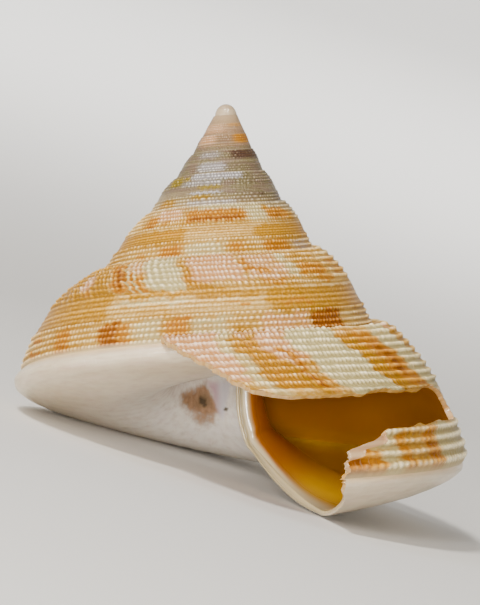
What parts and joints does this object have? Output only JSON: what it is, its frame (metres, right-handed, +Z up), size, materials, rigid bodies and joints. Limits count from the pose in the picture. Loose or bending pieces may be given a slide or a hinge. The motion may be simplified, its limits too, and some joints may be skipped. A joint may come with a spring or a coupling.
{
  "type": "slit shell",
  "caption": "Coiled conical sea shell with a beaded flank, an open slit behind its lip, a wide aperture and an open umbilicus, standing on its base with the apex leaning",
  "frame": {"origin": "middle of the bounding box at the height of the surface that the shell stands on", "axes": "+Z up, -Y towards the viewer who looks into the aperture, +X to that viewer's right"},
  "size_m": [0.0526, 0.0544, 0.041],
  "materials": {
    "shell": "satin natural shell, cream with orange flames, pearly inside"
  },
  "bodies": {
    "root": {"shell": "shell"}
  },
  "joints": []
}
